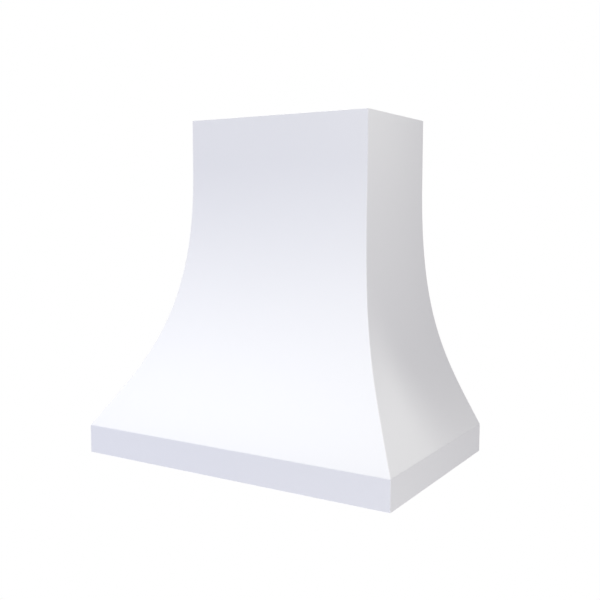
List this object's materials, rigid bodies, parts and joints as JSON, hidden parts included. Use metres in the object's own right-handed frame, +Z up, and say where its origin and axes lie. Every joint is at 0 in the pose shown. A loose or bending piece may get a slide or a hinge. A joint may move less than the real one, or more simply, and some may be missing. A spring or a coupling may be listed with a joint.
{
  "type": "wall range hood",
  "caption": "Wall-mounted kitchen range hood with a straight chimney that flares in a concave sweep to an upright apron, with baffle filters, lamps and a blower inside.",
  "frame": {"origin": "middle of the hood's width, on the wall plane, at the height of the bottom rim", "axes": "+X to the hood's right seen from the front, +Y towards the wall, +Z up"},
  "size_m": [0.9144, 0.573, 0.9144],
  "materials": {
    "powder_coat": "white satin powder coat on sheet steel",
    "galvanised": "zinc-coated sheet steel",
    "stainless": "brushed stainless sheet",
    "bright_steel": "polished stainless",
    "zinc_screw": "zinc-plated steel",
    "motor_paint": "black enamel on a steel can",
    "black_plastic": "moulded black plastic",
    "pale_plastic": "moulded pale nylon",
    "lamp_lens": "frosted lens",
    "lamp_body": "die-cast finned body",
    "cable_jacket": "black flexible jacket"
  },
  "bodies": {
    "hood": {"front_panel": "powder_coat", "left_side_panel": "powder_coat", "right_side_panel": "powder_coat", "back_panel": "galvanised", "top_plate": "galvanised", "duct_collar": "galvanised", "outlet_flange": "galvanised", "scroll_wrap": "galvanised", "left_scroll_cheek": "galvanised", "right_scroll_cheek": "galvanised", "left_inlet_ring": "galvanised", "right_inlet_ring": "galvanised", "motor_bracket": "galvanised", "junction_cover": "galvanised", "liner_pan": "stainless", "control_plate": "stainless", "filter_clips": "bright_steel", "left_lamp_bezel": "bright_steel", "right_lamp_bezel": "bright_steel", "damper_rod": "bright_steel", "liner_screws": "zinc_screw", "collar_screws": "zinc_screw", "outlet_screws": "zinc_screw", "inlet_screws": "zinc_screw", "motor_screws": "zinc_screw", "junction_screws": "zinc_screw", "motor": "motor_paint", "switch_housing": "black_plastic", "capacitor": "black_plastic", "supply_bushing": "black_plastic", "cable_clips": "black_plastic", "terminal_block": "pale_plastic", "left_lamp_lens": "lamp_lens", "right_lamp_lens": "lamp_lens", "left_lamp_body": "lamp_body", "right_lamp_body": "lamp_body", "motor_cable": "cable_jacket", "control_cable": "cable_jacket"},
    "impeller": {"impeller": "galvanised", "motor_shaft": "bright_steel"},
    "front_damper": {"front_damper_flap": "galvanised"},
    "rear_damper": {"rear_damper_flap": "galvanised"},
    "filter_1": {"filter_1_frame": "stainless", "filter_1_baffles": "stainless", "filter_1_handle": "bright_steel"},
    "filter_2": {"filter_2_frame": "stainless", "filter_2_baffles": "stainless", "filter_2_handle": "bright_steel"},
    "filter_3": {"filter_3_frame": "stainless", "filter_3_baffles": "stainless", "filter_3_handle": "bright_steel"},
    "button_1": {"button_1": "bright_steel"},
    "button_2": {"button_2": "bright_steel"},
    "button_3": {"button_3": "bright_steel"},
    "button_4": {"button_4": "bright_steel"},
    "button_5": {"button_5": "bright_steel"}
  },
  "joints": [
    {"name": "impeller_spin", "type": "hinge", "parent": "hood", "child": "impeller", "pos_m": [0, -0.1982, 0.6659], "axis": [1, 0, 0], "continuous": true},
    {"name": "front_damper_hinge", "type": "hinge", "parent": "hood", "child": "front_damper", "pos_m": [0, -0.1332, 0.8694], "axis": [-1, 0, 0], "range_deg": [0, 80]},
    {"name": "rear_damper_hinge", "type": "hinge", "parent": "hood", "child": "rear_damper", "pos_m": [0, -0.1332, 0.8694], "axis": [1, 0, 0], "range_deg": [0, 80]},
    {"name": "filter_1_tilt", "type": "hinge", "parent": "hood", "child": "filter_1", "pos_m": [0, -0.082, 0.03315], "axis": [1, 0, 0], "range_deg": [0, 75]},
    {"name": "filter_2_tilt", "type": "hinge", "parent": "hood", "child": "filter_2", "pos_m": [0, -0.082, 0.03315], "axis": [1, 0, 0], "range_deg": [0, 75]},
    {"name": "filter_3_tilt", "type": "hinge", "parent": "hood", "child": "filter_3", "pos_m": [0, -0.082, 0.03315], "axis": [1, 0, 0], "range_deg": [0, 75]},
    {"name": "button_1_press", "type": "slide", "parent": "hood", "child": "button_1", "axis": [0, 0, 1], "range_m": [0, 0.0025], "stiffness_N_per_m": 500},
    {"name": "button_2_press", "type": "slide", "parent": "hood", "child": "button_2", "axis": [0, 0, 1], "range_m": [0, 0.0025], "stiffness_N_per_m": 500},
    {"name": "button_3_press", "type": "slide", "parent": "hood", "child": "button_3", "axis": [0, 0, 1], "range_m": [0, 0.0025], "stiffness_N_per_m": 500},
    {"name": "button_4_press", "type": "slide", "parent": "hood", "child": "button_4", "axis": [0, 0, 1], "range_m": [0, 0.0025], "stiffness_N_per_m": 500},
    {"name": "button_5_press", "type": "slide", "parent": "hood", "child": "button_5", "axis": [0, 0, 1], "range_m": [0, 0.0025], "stiffness_N_per_m": 500}
  ]
}
